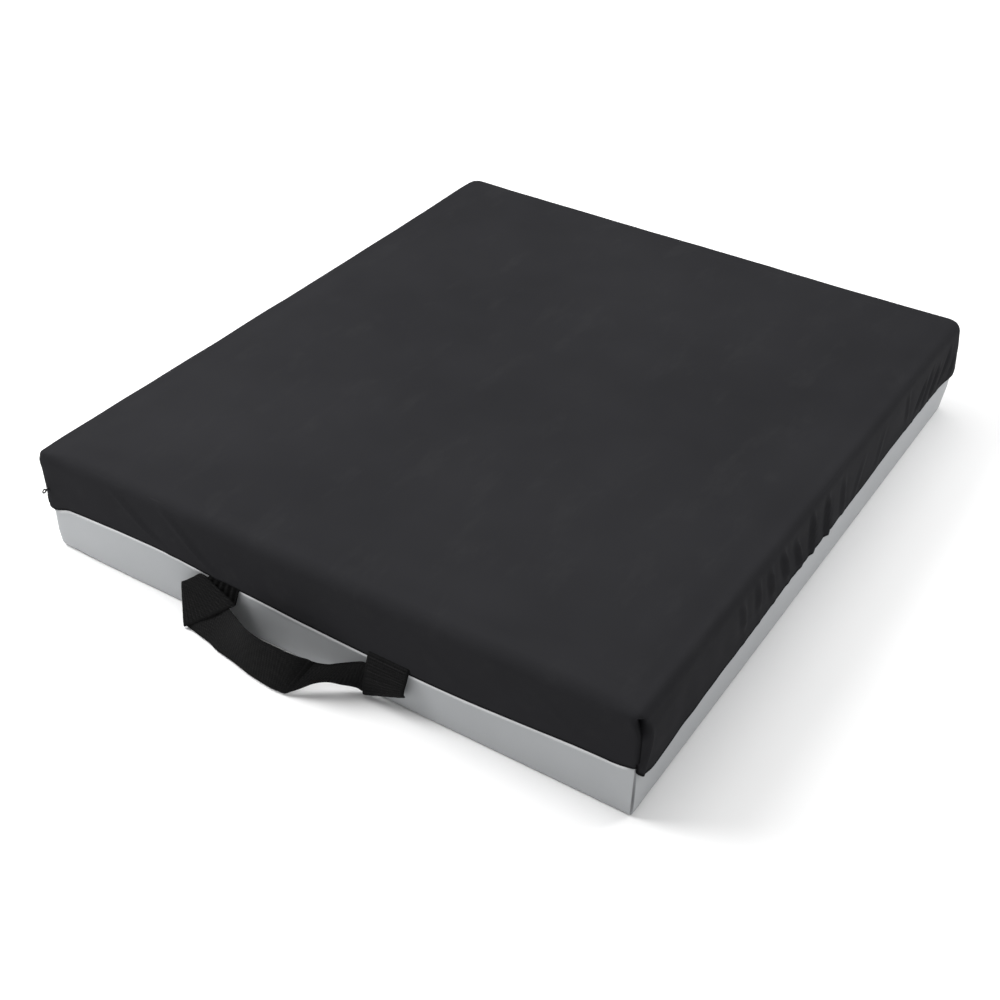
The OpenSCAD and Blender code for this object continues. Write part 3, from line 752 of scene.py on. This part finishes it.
def base_surface():
    """The outer surface of the grey base: (points, normals, quads, painted highlight of the front rim)."""
    half, front_y, back_y = HALF_W - WALL_IN, FRONT + FRONT_IN, BACK - WALL_IN
    near = [0, 0.35, 0.8, 1.4, 2.2, 3.4, 5, 7.5, 11]
    xs = lines(-half, half, 5 * MM, near, near)
    ys = lines(front_y, back_y, 5 * MM, near, [0, 0.8, 1.7, 2.8, 4.2, 6, 8.5])
    zs = lines(0, WALL_TOP, 2.2 * MM, [0, 0.35, 0.8, 1.4, 2.2, 3.4], [0, 0.5, 1, 1.6, 2.4, 3.4, 4.8])
    box, quads, side = box_grid(xs, ys, zs, ["bottom", "front", "back", "left", "right"])
    front, bottom = (np.isin(np.arange(len(box)), quads[side == name]) for name in ("front", "bottom"))
    # the front wall ends in the seam
    seam = curve(FRONT_SEAM, box[:, 0] / MM) * MM
    upside_down = box * (1, 1, -1)
    upside_down[:, 2] *= np.where(front, seam + 0.6 * MM, WALL_TOP) / WALL_TOP
    # the left front corner is softer than the others
    soft = bell(box[:, 0] + half, 30 * MM) * bell(box[:, 1] - FRONT, 30 * MM)
    edge, upright = (1.6 + 2.4 * soft) * MM, (0.7 + 2.0 * soft) * MM
    p = round_box(upside_down, half, front_y, back_y, 0.0, edge, edge, BASE_CORNER, upright, -6 * MM)
    p = p * (1, 1, -1)
    # the back corners are round underneath and lean out towards the flap
    from_back_corner = np.hypot(half - np.abs(p[:, 0]), back_y - p[:, 1])
    p[:, 2] += 2.2 * MM * bell(from_back_corner, 5 * MM) * ~front * (1 - step(0, 9 * MM, p[:, 2]))
    lean = bell(from_back_corner, 16 * MM) * step(0, 27 * MM, p[:, 2])
    p[:, 0] += np.sign(p[:, 0]) * 2.0 * MM * lean
    p[:, 1] += 1.0 * MM * lean
    # the walls swell a little, and the front one is drawn into a roll under the seam
    z = p[:, 2]
    uneven = 0.22 * MM * ripple(p, 0.06, 11) + 0.10 * MM * ripple(p * (1, 1, 0.5), 0.022, 12)
    full = 0.35 * MM * np.sin(np.clip(z / (34 * MM), 0, 1) * math.pi)
    swell = step(0, 5 * MM, z) * ~bottom * (full + uneven)
    swell = np.where(front, swell, np.minimum(swell, 0.55 * MM))
    swell += front * 0.55 * MM * bell(z - seam + 1.7 * MM, 1.3 * MM)
    p = p + point_normals(p, quads) * swell[:, None]
    p[:, 2] = np.maximum(p[:, 2], 0)
    # sewn front uprights: a narrow groove
    at_corner = np.hypot(half - np.abs(box[:, 0]), box[:, 1] - front_y)
    groove = 0.8 * MM * bell(at_corner, 0.45 * MM) * (box[:, 2] > 0.5 * MM) * (1 - soft)
    p[:, 0] -= np.sign(box[:, 0]) * groove / math.sqrt(2)
    p[:, 1] += groove / math.sqrt(2)
    # painted highlight: the roll under the front seam is made paler, where light would catch it
    rim = front * bell(z - seam + 0.8 * MM, 0.9 * MM) * step(2 * MM, 9 * MM, half - np.abs(box[:, 0]))
    return p, point_normals(p, quads), quads, rim


base_p, base_n, base_q, base_painted_highlight = base_surface()
base_shell = sheet_solid("base_shell", base_p, base_n, base_q, base_q, SHEET, GREY, base_painted_highlight)
belongs(base_shell, "base_tray", "base")


# ---------- foam ----------

def foam(name, node, material, roll, seed):
    """A foam block with its front roll and slightly uneven faces, just inside its CAD solid."""
    lo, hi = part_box(node)
    half = hi[0]
    xs = lines(-half, half, 7 * MM, [0, 1, 2.5, 5], [0, 1, 2.5, 5])
    ys = lines(lo[1], hi[1], 7 * MM, [0, 1, 2.5, 5, 9], [0, 1, 2.5, 5, 9])
    zs = lines(lo[2], hi[2], 4 * MM, [0, 1, 2.5], [0, 1, 2.5, 5, 8])
    box, quads, _ = box_grid(xs, ys, zs, SIDES)
    p = round_box(box, half, lo[1], hi[1], hi[2], roll, 1.5 * MM, 8 * MM, 1.5 * MM, hi[2])
    p = p + point_normals(p, quads) * 0.2 * MM * (ripple(p, 0.05, seed) - 1)[:, None]
    obj = make(name, p, quads, material)
    belongs(obj, node, "base")


foam("foam_soft_layer", "foam_top", SOFT_FOAM, 7.5 * MM, 21)
foam("foam_firm_layer", "foam_base", FIRM_FOAM, 1.5 * MM, 22)


# ---------- small shapes ----------

def ring_faces(rings, size, closed=False):
    """The skin over rings of `size` points each, with a cap at both ends if it isn't closed."""
    k, c = np.meshgrid(np.arange(rings - 1 + closed), np.arange(size), indexing="ij")
    here, there, after = k * size, (k + 1) % rings * size, (c + 1) % size
    faces = np.stack([here + c, here + after, there + after, there + c], -1).reshape(-1, 4).tolist()
    if not closed:
        faces += [list(range(size))[::-1], list(range((rings - 1) * size, rings * size))]
    return faces


def tube(path, radius, sides=6, closed=False):
    """Points and faces of a thin tube along a short path, with pinched ends."""
    path = np.array(path, float)
    last = len(path) - 1
    rings = []
    for k, centre in enumerate(path):
        before = path[(k - 1) % len(path)] if closed or k else path[0]
        after = path[(k + 1) % len(path)] if closed or k < last else path[-1]
        along = unit(after - before)
        across = unit(np.cross(along, (0, 0, 1) if abs(along[2]) < 0.9 else (1, 0, 0)))
        third = np.cross(along, across)
        r = radius * (1 if closed or 0 < k < last else 0.45)
        rings += [centre + r * (math.cos(a) * across + math.sin(a) * third)
                  for a in np.arange(sides) * 2 * math.pi / sides]
    return np.array(rings), ring_faces(len(path), sides, closed)


def joined(parts):
    """Several (points, faces) shapes as one."""
    starts = np.cumsum([0] + [len(points) for points, _ in parts])
    faces = [[i + start for i in f] for (_, part), start in zip(parts, starts.tolist()) for f in part]
    return np.concatenate([points for points, _ in parts]), faces


# ---------- zip ----------

def zip_path(pitch):
    """Points round the three zipped sides, from the right front corner, and the inward normals."""
    side, arc, back = BACK - CORNER - ZIP_FRONT, math.pi / 2 * CORNER, 2 * (HALF_W - CORNER)
    total = 2 * (side + arc) + back
    run = np.linspace(0, total, int(round(total / pitch)) + 1)
    sx = np.where(run < total / 2, 1, -1)
    run = np.minimum(run, total - run)
    turn = np.clip(run - side, 0, arc) / CORNER
    x = HALF_W - CORNER + CORNER * np.cos(turn) - np.maximum(run - side - arc, 0)
    y = ZIP_FRONT + np.minimum(run, side) + CORNER * np.sin(turn)
    return np.stack([sx * x, y], 1), np.stack([-sx * np.cos(turn), -np.sin(turn)], 1)


def sweep(name, profile, material):
    """A closed (depth, height) profile swept round the zipped sides."""
    at, inward = zip_path(2 * MM)
    depth, height = np.array(profile).T
    flat = at[:, None] + inward[:, None] * depth[:, None]
    p = np.concatenate([flat, np.broadcast_to(height[:, None], (len(at), len(profile), 1))], axis=2)
    return make(name, p.reshape(-1, 3), ring_faces(len(at), len(profile)), material)


def tape(name, z_edge, up):
    """A flat woven tape with a corded rib at its edge and another along the stitching."""
    heights = z_edge + up * np.array([0, 4.8, 11.6, 12]) * MM
    zs = np.linspace(min(heights), max(heights), 15)
    bulge = 0.25 * MM * (bell(zs - heights[1], 0.5 * MM) + bell(zs - heights[2], 0.5 * MM))
    thick = (0.25 * MM + bulge) * np.where((zs == zs[0]) | (zs == zs[-1]), 0.35, 1)
    profile = list(zip(ZIP_IN + thick, zs)) + list(zip(ZIP_IN - thick, zs))[::-1]
    return sweep(name, profile, TAPE)


def along_zip(name, path, radius, sides, pitch, depth, z, mirror, material):
    """A small tube of that path, repeated along the zipped sides at one depth and height. Its X runs
    along the zip, its Y inwards and its Z up, or the other way where mirror holds -1."""
    points, faces = tube(path, radius, sides)
    if np.prod(mirror) < 0:
        faces = [f[::-1] for f in faces]
    at, inward = zip_path(pitch)
    along = unit(np.gradient(at, axis=0))
    parts = [((x, y, z) + points * mirror @ [(*d, 0), (*n, 0), (0, 0, 1)], faces)
             for (x, y), n, d in list(zip(at + inward * depth, inward, along))[1:-1]]
    return make(name, *joined(parts), material)


def coil(name, z_edge, up):
    """One row of coil: a loop of nylon for each tooth, wrapped round the tape's edge."""
    pitch, height, half = 1.3 * MM, 2.4 * MM, 0.95 * MM
    loop = [(-0.25, -half, 0.95 * height), (-0.2, -half, 0.5 * height), (-0.05, -half, 0.15 * height),
            (0, -0.55 * half, -0.02 * MM), (0.05, 0.55 * half, -0.02 * MM),
            (0.1, half, 0.15 * height), (0.2, half, 0.5 * height), (0.3, half, 0.95 * height)]
    path = [(along * pitch, depth, z) for along, depth, z in loop]
    return along_zip(name, path, 0.33 * MM, 5, pitch, ZIP_IN, z_edge, (1, 1, up), NYLON)


def stitch_row(name, z, material):
    """Separate lock stitches along a tape at one height, bowed out of the fabric."""
    pitch, bow = 3.4 * MM, 0.12 * MM
    length = 0.8 * pitch
    path = [(-length / 2, bow, 0), (-length / 3, -0.05 * MM, 0), (0, -bow, 0),
            (length / 3, -0.05 * MM, 0), (length / 2, bow, 0)]
    return along_zip(name, path, 0.22 * MM, 6, pitch, ZIP_IN + 0.42 * MM, z, (1, -1, 1), material)


# the facing is a strip folded round the upper tape, open side down
FACE_LO, FACE_HI = (corner[2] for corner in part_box("zip_facing"))
FACING = [(depth * MM, z) for depth, z in (
    (2.0, FACE_LO), (2.1, FACE_HI - 2.2 * MM), (2.8, FACE_HI - 1.6 * MM), (3.6, FACE_HI - 2.6 * MM),
    (3.7, FACE_LO + 0.5 * MM), (4.4, FACE_LO), (4.7, FACE_LO + 0.6 * MM), (4.7, FACE_HI - 1.6 * MM),
    (3.9, FACE_HI - 0.3 * MM), (2.6, FACE_HI), (1.5, FACE_HI - 0.3 * MM), (1.05, FACE_HI - 1.5 * MM),
    (1.05, FACE_LO))]
LOW_EDGE, HIGH_EDGE = ZIP_Z - 0.2 * MM, ZIP_Z + 0.2 * MM

for piece, node, slot, body in (
        (tape("tape_lower", LOW_EDGE, -1), "zip_tape_lower", "zip_tape", "base"),
        (tape("tape_upper", HIGH_EDGE, 1), "zip_tape_upper", "zip_tape", "top_cover"),
        (sweep("zip_facing_strip", FACING, BLACK), "zip_facing", "black_coated_fabric", "top_cover"),
        (coil("coil_lower", LOW_EDGE, -1), "zip_coil_lower", "zip_coil", "base"),
        (coil("coil_upper", HIGH_EDGE, 1), "zip_coil_upper", "zip_coil", "top_cover"),
        (stitch_row("stitches_lower", 34.3 * MM, GREY_THREAD), "zip_thread_lower", "grey_thread", "base"),
        (stitch_row("stitches_upper", FACE_LO + 1.7 * MM, BLACK_THREAD), "zip_thread_upper",
         "black_thread", "top_cover")):
    belongs(piece, node, body)


# ---------- handle ----------

STRAP_W, STRAP_T = 29 * MM, 1.5 * MM
LEFT_X, RIGHT_X = -72, 54
LEFT_END, LEFT_IN, RIGHT_IN, RIGHT_END = LEFT_X - 14.5, LEFT_X + 14.5, RIGHT_X - 14.5, RIGHT_X + 14.5
SEAM = 32

# Lines across the webbing, from its upper to its lower edge, from the left root to the right one.
# Each point is X, distance out from the front face, Z, in mm. The roots go on up under the black
# cover's edge.
STRAP = [
    ((LEFT_END + 7, -0.6, 36), (LEFT_IN + 1, -0.6, 35)),
    ((LEFT_END + 6, 0.6, 34), (LEFT_IN + 1, 1.4, SEAM)),
    ((LEFT_END + 4, 0.9, 32.6), (LEFT_IN, 3.2, 25)),
    ((LEFT_END, 1.5, 34.1), (LEFT_IN - 0.3, 5.6, 24)),
    ((LEFT_END - 4, 3.8, 31.2), (LEFT_IN - 9.5, 9.6, 17)),
    ((LEFT_END - 8.5, 5.8, 27.9), (LEFT_IN - 21.5, 14.2, 8)),
    ((LEFT_END - 11.2, 6.6, 26.2), (LEFT_IN - 31, 17.6, 1.8)),
    ((LEFT_END - 10.6, 5.2, 24.8), (LEFT_IN - 30.4, 16.2, 1)),
    ((LEFT_END + 2.5, 3.2, 22), (LEFT_IN - 18.5, 18.4, 1)),
    ((LEFT_END + 18.5, 4, 21.5), (LEFT_IN - 8.5, 20.4, 1)),
    ((LEFT_END + 32.5, 10, 22.5), (LEFT_IN - 1, 22.8, 1)),
    ((-37, 20, 27.8), (-44, 25.2, 1)),
    ((-24, 23.8, 29), (-28, 28.5, 1)),
    ((-9, 24.2, 29.2), (-12, 30.2, 1)),
    ((3, 22.4, 27.5), (-5.5, 29.9, 1)),
    ((10, 19.8, 26.4), (-2.2, 29.7, 1)),
    ((13.5, 20, 26.6), (-0.6, 29.4, 1.2)),
    ((17, 18, 25.4), (1.4, 27.4, 2)),
    ((RIGHT_IN - 18, 14.6, 24.3), (5, 23.6, 3.2)),
    ((RIGHT_IN - 14.5, 11.5, 24.5), (10.5, 17.5, 5.5)),
    ((RIGHT_IN - 10, 8.2, 25), (17, 12.5, 6.5)),
    ((RIGHT_IN - 6, 5.4, 25.5), (24.5, 7.6, 4.5)),
    ((RIGHT_IN - 1, 3.2, 26), (RIGHT_IN - 8, 3.6, 3)),
    ((RIGHT_IN + 6.5, 2, 23), (RIGHT_IN - 4, 3.2, 2.2)),
    ((RIGHT_IN + 17.5, 2, 17.4), (RIGHT_IN - 1.5, 3.2, 2.4)),
    ((RIGHT_IN + 27, 3.2, 14.2), (RIGHT_IN - 1.2, 4.6, 2.4)),
    ((RIGHT_IN + 28, 5.2, 15.8), (RIGHT_IN - 0.9, 6.2, 4.4)),
    ((RIGHT_END - 0.5, 5.4, 20.5), (RIGHT_IN - 0.5, 6, 14)),
    ((RIGHT_END, 3.6, 26), (RIGHT_IN, 3.6, 25)),
    ((RIGHT_END, 1.4, SEAM - 1), (RIGHT_IN, 1.4, SEAM - 1)),
    ((RIGHT_END, -0.6, 34), (RIGHT_IN, -0.6, 34)),
]
PLEATS = 5.5            # folds across the webbing at its left root


def catmull(rows, u):
    """Points on the smooth curve through rows at the positions u."""
    last = len(rows) - 1
    i = np.clip(np.floor(u).astype(int), 0, last - 1)
    t = (u - i)[:, None, None]
    p0, p1, p2, p3 = (rows[np.clip(i + k, 0, last)] for k in (-1, 0, 1, 2))
    return 0.5 * (2 * p1 + (p2 - p0) * t + (2 * p0 - 5 * p1 + 4 * p2 - p3) * t**2
                  + (3 * p1 - p0 - 3 * p2 + p3) * t**3)


def loop_shade(u, v):
    """Shade of the handle: the root inside the first fold, the folds, and the twist on the right."""
    root = (0.8 + 0.2 * np.cos(2 * math.pi * PLEATS * v)) * (1 - step(2.5, 2.95, u))
    fold = 0.6 * bell(u - 7.3, 0.35)
    twist = bell(u - 16.3, 2.4) * np.sqrt(1 - v) * (u < 16.35)
    return np.maximum(np.maximum(root, fold), twist)


def root_pleats(u, v):
    """Pleats of the handle's left root, drawn together in the seam."""
    return 0.45 * MM * np.cos(2 * math.pi * PLEATS * v) * (1 - step(1.6, 2.8, u)) * step(0, 0.6, u)


def webbing(name, edges, shade=None, pleats=None):
    """Ribbed webbing through pairs of edge points: ribs across it, and a bound edge each side."""
    rib_pitch, per_rib, cols = 2 * MM, 4, 25
    rows = np.array(edges)
    u = np.linspace(0, len(rows) - 1, 1600)
    mids = catmull(rows, u).mean(axis=1)
    run = np.concatenate([[0], np.cumsum(np.linalg.norm(np.diff(mids, axis=0), axis=1))])
    count = int(run[-1] / rib_pitch * per_rib)
    stations = np.interp(np.linspace(0, run[-1], count + 1), run, u)
    line = catmull(rows, stations)
    across = line[:, 1] - line[:, 0]
    normal = unit(np.cross(across, np.gradient(line.mean(axis=1), axis=0)))[:, None]

    v = np.linspace(0, 1, cols)
    off_centre = np.abs(v - 0.5) * 2
    edge_thin = np.where(off_centre > 0.98, 0.35, np.where(off_centre > 0.9, 0.85, 1))
    rib = np.cos(np.arange(count + 1) * 2 * math.pi / per_rib)[:, None]
    strand = np.cos(v * math.pi * cols * 0.5)
    ribbed = off_centre < 0.88
    thick = STRAP_T / 2 * 0.86 * edge_thin + (0.12 * rib + 0.05 * strand) * MM * ribbed
    centre = line[:, None, 0] + across[:, None] * v[None, :, None]
    # painted shade, kept as the mesh's shade value: darker in the hollows between ribs and along the thin
    # bound edges
    dark = 0.25 * (1 - rib) * ribbed + 0.45 * (off_centre > 0.9)
    if shade:
        dark = np.maximum(dark, shade(stations[:, None], v[None, :]))
    if pleats:
        centre = centre + normal * pleats(stations[:, None], v[None, :])[..., None]
    faces_out, faces_in = centre + normal * thick[..., None], centre - normal * thick[..., None]
    ring = np.concatenate([faces_out, faces_in[:, ::-1]], axis=1)
    obj = make(name, ring.reshape(-1, 3), ring_faces(count + 1, 2 * cols), WEBBING)
    store_shade(obj, np.concatenate([dark, dark[:, ::-1]], axis=1).reshape(-1))
    return obj


def out_from_front(point):
    return point[0] * MM, FRONT - point[1] * MM, point[2] * MM


strap_loop = webbing("strap_loop", [[out_from_front(a), out_from_front(b)] for a, b in STRAP],
                     shade=loop_shade, pleats=root_pleats)
belongs(strap_loop, "handle_strap")
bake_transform(strap_loop)


def zigzag(name, x, y, z):
    """One row of a bar tack, centred on x."""
    length, half_height, count = 25 * MM, 0.5 * MM, 50
    points = [(x + length * (k / count - 0.5), y, z + (half_height if k % 2 else -half_height))
              for k in range(count + 1)]
    return make(name, *tube(points, 0.2 * MM), BLACK_THREAD)


ENDS = ("left", LEFT_X * MM), ("right", RIGHT_X * MM)
TAIL_LO, TAIL_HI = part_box("strap_tails")
tail_y = (TAIL_LO[1] + TAIL_HI[1]) / 2
for side_name, x in ENDS:
    tail = webbing(f"strap_end_{side_name}", [[(x - STRAP_W / 2, tail_y, z), (x + STRAP_W / 2, tail_y, z)]
                                              for z in np.linspace(TAIL_HI[2], TAIL_LO[2], 4)])
    belongs(tail, "strap_tails", "base")

TACK_LO, TACK_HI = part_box("strap_tacks")
for side_name, x in ENDS:
    for row in range(3):
        tack = zigzag(f"bar_tack_{side_name}_{row}", x, (TACK_LO[1] + TACK_HI[1]) / 2,
                      TACK_LO[2] + (0.5 + 3.5 * row) * MM)
        belongs(tack, "strap_tacks", "base")


# ---------- seams ----------

def stitches(name, places, run, radius, material):
    """Straight separate stitches that start at those places, each as long as the vector run."""
    points, faces = tube([np.array(run) * t for t in (0, 0.2, 0.5, 0.8, 1)], radius)
    return make(name, *joined([(points + place, faces) for place in places]), material)


SEAM_STITCH, SEAM_COUNT = 3.2 * MM, 89
SEAM_LO, SEAM_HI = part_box("front_seam_thread")
seam_places = [(x, (SEAM_LO[1] + SEAM_HI[1]) / 2, (SEAM_LO[2] + SEAM_HI[2]) / 2)
               for x in np.linspace(SEAM_LO[0], SEAM_HI[0] - SEAM_STITCH, SEAM_COUNT)]
front_stitches = stitches("front_seam_stitches", seam_places, (SEAM_STITCH, 0, 0), 0.24 * MM, BLACK_THREAD)
belongs(front_stitches, "front_seam_thread", "base")

CORNER_LO, CORNER_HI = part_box("corner_seam_thread")
back_in = WALL_IN + BASE_CORNER - (BASE_CORNER - 1.4 * MM) / math.sqrt(2)
seam_corners = [(CORNER_HI[0] - 0.3 * MM, CORNER_LO[1] + 0.3 * MM), (HALF_W - back_in, BACK - back_in)]
corner_places = [(sx * x, y, CORNER_LO[2] + 4.2 * MM * i)
                 for x, y in seam_corners for sx in (-1, 1) for i in range(6)]
corner_stitches = stitches("corner_seam_stitches", corner_places, (0, 0, 3 * MM), 0.28 * MM, GREY_THREAD)
belongs(corner_stitches, "corner_seam_thread", "base")


# ---------- slider and pull ----------

def finish_node(node, material, radius):
    """Gives a carried-over CAD node its material and rounded edges."""
    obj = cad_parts[node]
    obj.data.materials.clear()
    obj.data.materials.append(material)
    bevel = obj.modifiers.new("bevel", "BEVEL")
    bevel.width, bevel.segments, bevel.limit_method = radius, 3, "ANGLE"


finish_node("zip_slider", METAL, 0.25 * MM)
finish_node("zip_start_box", NYLON, 0.3 * MM)
finish_node("zip_end_stop_lower", NYLON, 0.3 * MM)
finish_node("zip_end_stop_upper", NYLON, 0.3 * MM)
finish_node("cover_corner_seams", BLACK, 0.3 * MM)


def pull_ring(centre, r_mid, r_wire, flat):
    """A ring of wire in the pull's plane, its thickness scaled by flat."""
    points, faces = tube([(0, centre + r_mid * math.cos(a), r_mid * math.sin(a))
                          for a in np.arange(28) * 2 * math.pi / 28], r_wire, 8, closed=True)
    return points * (flat, 1, 1), faces


def pull_bar(start, end, sides=12, rings=15):
    """A flat bar with a rounded section, waisted in the middle."""
    def squarish(values, power):
        return np.sign(values) * np.abs(values) ** power

    width = (1.25 - 0.45 * np.sin(math.pi * np.linspace(0, 1, rings))) * MM
    width[[0, -1]] *= 0.7
    a = np.arange(sides) * 2 * math.pi / sides
    points = np.stack(np.broadcast_arrays(0.46 * MM * squarish(np.cos(a), 0.5),
                                          np.linspace(start, end, rings)[:, None],
                                          width[:, None] * squarish(np.sin(a), 0.7)), -1)
    return points.reshape(-1, 3), ring_faces(rings, sides)


PULL_LENGTH, PULL_TILT = 26.5 * MM, math.radians(6.5)
PULL_AT = (-HALF_W + 1.9 * MM, FRONT + 21.5 * MM, ZIP_Z)
pull_p, pull_f = joined([pull_ring(0, 1.27 * MM, 0.44 * MM, 1.1),
                         pull_ring(-PULL_LENGTH, 1.25 * MM, 0.5 * MM, 0.9),
                         pull_bar(-1.4 * MM, 1.8 * MM - PULL_LENGTH)])
tilt = np.array(Matrix.Rotation(PULL_TILT, 3, "X"))
pull = make("pull_tab", pull_p @ tilt + PULL_AT, pull_f, METAL)
belongs(pull, "zip_pull", "pull")


# ---------- floor, light, camera ----------

def studio():
    """A plain pale floor under soft light from above, from the left and from behind on the right."""
    floor = make("floor", [(-6, -6, 0), (6, -6, 0), (6, 6, 0), (-6, 6, 0)], [(0, 1, 2, 3)],
                 floor_paint(), smooth=False)
    floor.location.z = -0.2 * MM
    world = bpy.data.worlds.new("studio")
    world.use_nodes = True
    sky = world.node_tree.nodes["Background"].inputs
    sky["Color"].default_value, sky["Strength"].default_value = tone(1), 0.40
    bpy.context.scene.world = world
    for name, at, target, size, power in (
            ("overhead", (-0.3, 0.5, 2.5), (0, 0, 0), 2.2, 32),
            ("left", (-1.0, -0.4, 1.0), (0, 0, 0.03), 1.0, 23),
            ("right", (0.95, 1.1, 0.8), (0, 0, 0.03), 0.7, 11)):
        light = bpy.data.lights.new(name, "AREA")
        light.shape, light.size, light.energy = "DISK", size, power
        lamp = bpy.data.objects.new(name, light)
        lamp.location = at
        lamp.rotation_euler = (Vector(at) - Vector(target)).to_track_quat("Z", "Y").to_euler()
        bpy.context.collection.objects.link(lamp)


def floor_paint():
    m = Paint("pale_floor")
    m.set(Base_Color=tones(m, tone(0.9), tone(0.92), 3), Roughness=0.9, Specular_IOR_Level=0.1)
    return m.mat


studio()

CAMERA_AT = (0.44056, -0.77095, 0.62180)
AZIMUTH, ELEVATION, LEAN = math.radians(31.25), math.radians(36.19), math.radians(1.89)
camera_data = bpy.data.cameras.new("camera")
camera_data.lens, camera_data.sensor_width = 54.65, 36
camera = bpy.data.objects.new("camera", camera_data)
camera.matrix_world = (Matrix.Translation(CAMERA_AT) @ Matrix.Rotation(AZIMUTH, 4, "Z")
                       @ Matrix.Rotation(math.pi / 2 - ELEVATION, 4, "X") @ Matrix.Rotation(LEAN, 4, "Z"))
bpy.context.collection.objects.link(camera)
bpy.context.scene.camera = camera
bpy.context.scene.view_settings.view_transform = "Standard"
